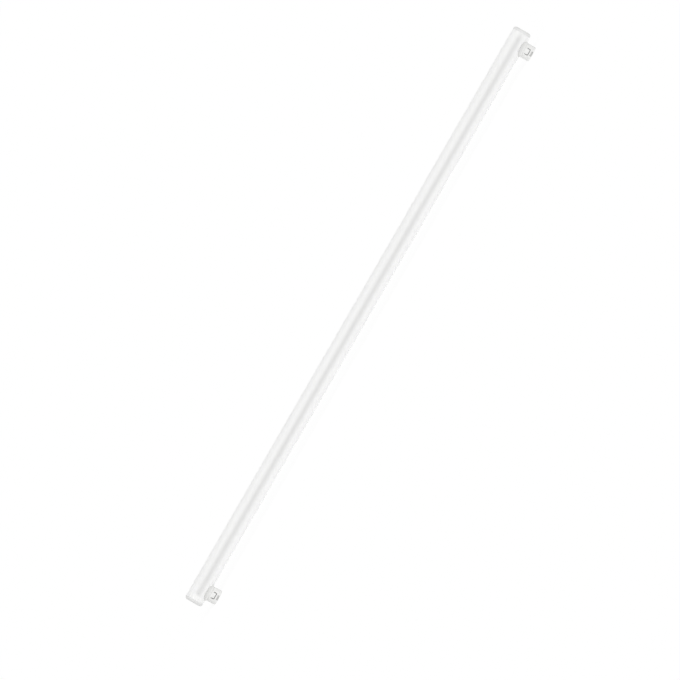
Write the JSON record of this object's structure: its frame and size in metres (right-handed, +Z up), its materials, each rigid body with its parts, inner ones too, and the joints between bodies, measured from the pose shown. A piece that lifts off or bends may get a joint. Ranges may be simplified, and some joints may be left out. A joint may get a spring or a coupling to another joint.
{
  "type": "linear led tube lamp",
  "caption": "Straight opal tube lamp with flush end caps, and a round snap-in contact peg near each end that plugs into a matching holder.",
  "frame": {"origin": "on the plane of the pegs' end faces, midway between the pegs", "axes": "+X along the tube, +Y across it, +Z up from the pegs' ends towards the tube"},
  "size_m": [1, 0.029, 0.0445],
  "materials": {
    "opal_tube": "satin opal extrusion",
    "cap_plastic": "fine moulded white",
    "peg_plastic": "fine moulded white",
    "saddle_plastic": "fine moulded off-white",
    "contact_plated": "nickel-plated",
    "strip_aluminium": "mill finish",
    "board_white": "white solder mask",
    "led_resin": "yellow resin",
    "rivet_aluminium": "plain",
    "tinned_metal": "tinned",
    "board_green": "green solder mask",
    "foam_white": "closed-cell foam",
    "chip_black": "moulded black",
    "can_sleeve": "shrunk sleeve",
    "choke_ferrite": "ferrite",
    "film_red": "dipped",
    "fuse_grey": "lacquered",
    "lead_brown": "insulation",
    "lead_blue": "insulation"
  },
  "bodies": {
    "root": {"diffuser_tube": "opal_tube", "end_cap_left": "cap_plastic", "end_cap_right": "cap_plastic", "peg_saddle_left": "saddle_plastic", "peg_saddle_right": "saddle_plastic", "peg_cup_left": "peg_plastic", "peg_cup_right": "peg_plastic", "contact_blade_left": "contact_plated", "contact_blade_right": "contact_plated", "carrier_strip": "strip_aluminium", "led_board_left": "board_white", "led_board_right": "board_white", "led_packages_left": "led_resin", "led_packages_right": "led_resin", "board_rivets_left": "rivet_aluminium", "board_rivets_right": "rivet_aluminium", "board_links": "tinned_metal", "driver_board": "board_green", "foam_pads": "foam_white", "output_pins": "tinned_metal", "rectifier": "chip_black", "driver_chip": "chip_black", "smoothing_capacitor": "can_sleeve", "choke": "choke_ferrite", "film_capacitor": "film_red", "fuse_resistor": "fuse_grey", "live_lead": "lead_brown", "neutral_lead": "lead_blue"}
  },
  "joints": []
}
